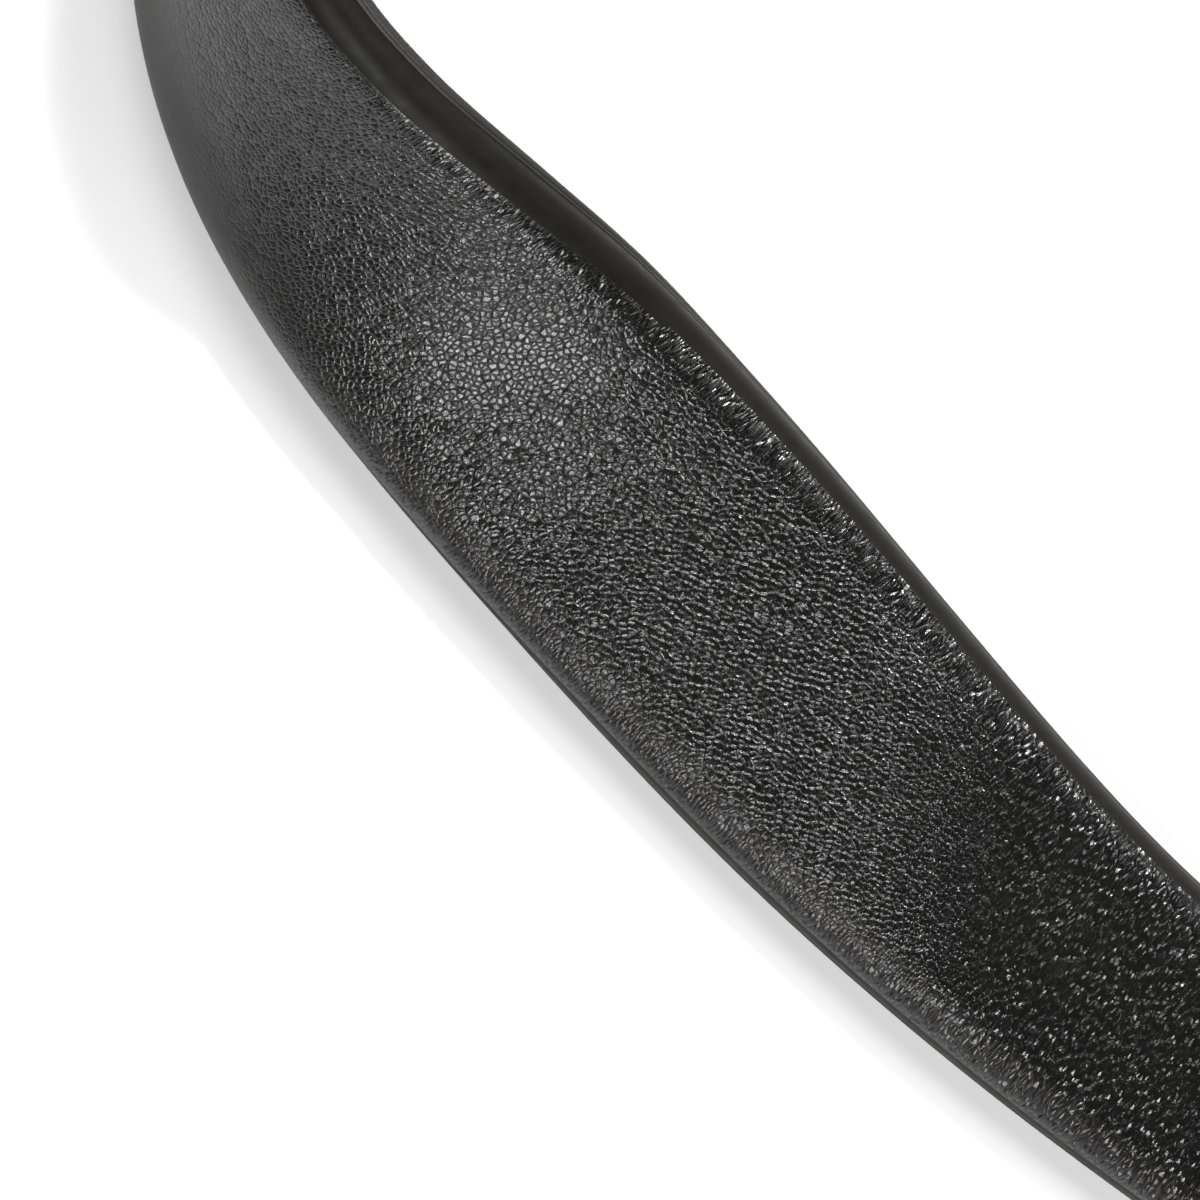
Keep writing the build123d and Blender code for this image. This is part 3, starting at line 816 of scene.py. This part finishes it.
for side_name, side in (("left", 1), ("right", -1)):
    strap = wear(side_strap(side_name, side), strap_leather)
    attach(strap, "neck_band")
    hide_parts(side_name + "_side_strap")
    for node in (side_name + "_end_rivets", side_name + "_fold_rivet"):
        low, high = node_box(node)[:2]
        near, far = low.y + RIVET_RADIUS, high.y - RIVET_RADIUS
        spots = [((low.x + high.x) / 2, near)]
        if far - near > 1.0:  # two rivets, set diagonally
            outer, inner = (low.x + RIVET_RADIUS, high.x - RIVET_RADIUS)[::side]
            spots = [(inner, near), (outer, far)]
        heads = wear(rivet_heads(node + "_domed", spots, high.z - RIVET_HEIGHT), nickel)
        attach(heads, "neck_band")
        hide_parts(node)

keeper = wear(strap_keeper(), strap_leather)
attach(keeper, "neck_band")
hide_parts("strap_keeper")

block = wear(slider_block(), black_plastic)
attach(block, "slider")
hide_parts("slider_body")

facing = wear(slider_facing(), grained)
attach(facing, "slider")
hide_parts("slider_facing")

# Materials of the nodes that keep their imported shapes, by the end of their names.
NODE_MATERIALS = {"load_tape": foam, "end_stiffener": strap_leather, "slider_rivets": nickel,
                  "hook_frame": nickel, "swivel_stud": steel, "swivel_washer": brass,
                  "hook_body": nickel, "hook_sleeve": black_rubber, "hook_gate": nickel,
                  "gate_pin": steel, "gate_spring": steel}
for node_name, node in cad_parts.items():
    for key, material in NODE_MATERIALS.items():
        if node_name.endswith(key):
            wear(node, material)

# ---------------------------------------------------------------- light, floor and camera

# In metres. The camera hangs straight above VIEW_AIM; VIEW_X is the picture's rightward way.
FLOOR_SIZE = 4.0
FLOOR_DROP = 0.0002
FLOOR_WHITE = 0.95
VIEW_SPAN = 0.150
VIEW_LENS = 300.0
VIEW_SENSOR = 36.0
VIEW_X = Vector((0.629, -0.777, 0.0))
VIEW_AIM = Vector((-0.0825, 0.1440, 0.008))


def add_floor():
    """A plain white floor a hair under the strap."""
    bpy.ops.mesh.primitive_plane_add(size=FLOOR_SIZE, location=(0, 0, -FLOOR_DROP))
    floor = bpy.context.object
    floor.name = "floor"
    n = Nodes("floor_white")
    grain = n.noise(n.object_place(), 30.0, 2.0)
    n.set(Base_Color=(FLOOR_WHITE, FLOOR_WHITE, FLOOR_WHITE, 1.0),
          Roughness=n.remap(grain, 0.3, 0.7, 0.85, 0.95, "LINEAR"))
    wear(floor, n.material)


def area_light(name, azimuth, elevation, distance, width, height, radiance):
    """A rectangular light that faces the view's aim from an azimuth and elevation in degrees."""
    light = bpy.data.lights.new(name, "AREA")
    light.shape = "RECTANGLE"
    light.size = width
    light.size_y = height
    light.energy = radiance * math.pi * width * height
    lamp = bpy.data.objects.new(name, light)
    turn, rise = math.radians(azimuth), math.radians(elevation)
    toward = Vector((math.cos(rise) * math.cos(turn), math.cos(rise) * math.sin(turn),
                     math.sin(rise)))
    lamp.location = VIEW_AIM + toward * distance
    lamp.rotation_euler = toward.to_track_quat("Z", "Y").to_euler()
    bpy.context.scene.collection.objects.link(lamp)


# Greys of the surroundings by height, from the horizon up to the camera.
SKY_HEIGHTS = (0.0, 0.2, 0.9)
SKY_GREYS = (0.42, 0.12, 0.03)


def add_world():
    """A dim studio, lighter round the horizon and dark straight above."""
    world = bpy.data.worlds.new("studio")
    bpy.context.scene.world = world
    world.use_nodes = True
    tree = world.node_tree
    where = tree.nodes.new("ShaderNodeTexCoord")
    split = tree.nodes.new("ShaderNodeSeparateXYZ")
    ramp = tree.nodes.new("ShaderNodeValToRGB")
    background = tree.nodes["Background"]
    tree.links.new(where.outputs["Generated"], split.inputs[0])
    tree.links.new(split.outputs["Z"], ramp.inputs[0])
    tree.links.new(ramp.outputs[0], background.inputs["Color"])
    ramp.color_ramp.elements.new(SKY_HEIGHTS[1])
    for element, height, grey in zip(ramp.color_ramp.elements, SKY_HEIGHTS, SKY_GREYS):
        element.position = height
        element.color = (grey, grey, grey, 1.0)
    background.inputs["Strength"].default_value = 1.0


def add_camera():
    """A long lens straight above the aim, so that VIEW_SPAN fills the picture's width."""
    camera = bpy.data.objects.new("camera", bpy.data.cameras.new("camera"))
    camera.data.lens = VIEW_LENS
    camera.data.sensor_width = VIEW_SENSOR
    camera.data.clip_end = 20.0
    distance = VIEW_SPAN * VIEW_LENS / VIEW_SENSOR
    axis_x = VIEW_X.normalized()
    axis_z = Vector((0, 0, 1))
    turn = Matrix((axis_x, axis_z.cross(axis_x), axis_z)).transposed()
    camera.matrix_world = Matrix.Translation(VIEW_AIM + axis_z * distance) @ turn.to_4x4()
    bpy.context.scene.collection.objects.link(camera)
    bpy.context.scene.camera = camera


add_camera()
add_floor()
add_world()
area_light("soft_key", 14, 53, 1.25, 1.4, 0.42, 4.4)
area_light("hard_key", 6, 41, 1.25, 0.18, 0.12, 215.0)
area_light("left_key", 209, 47, 1.05, 0.36, 0.38, 21.5)
bpy.context.scene.view_settings.view_transform = "Standard"
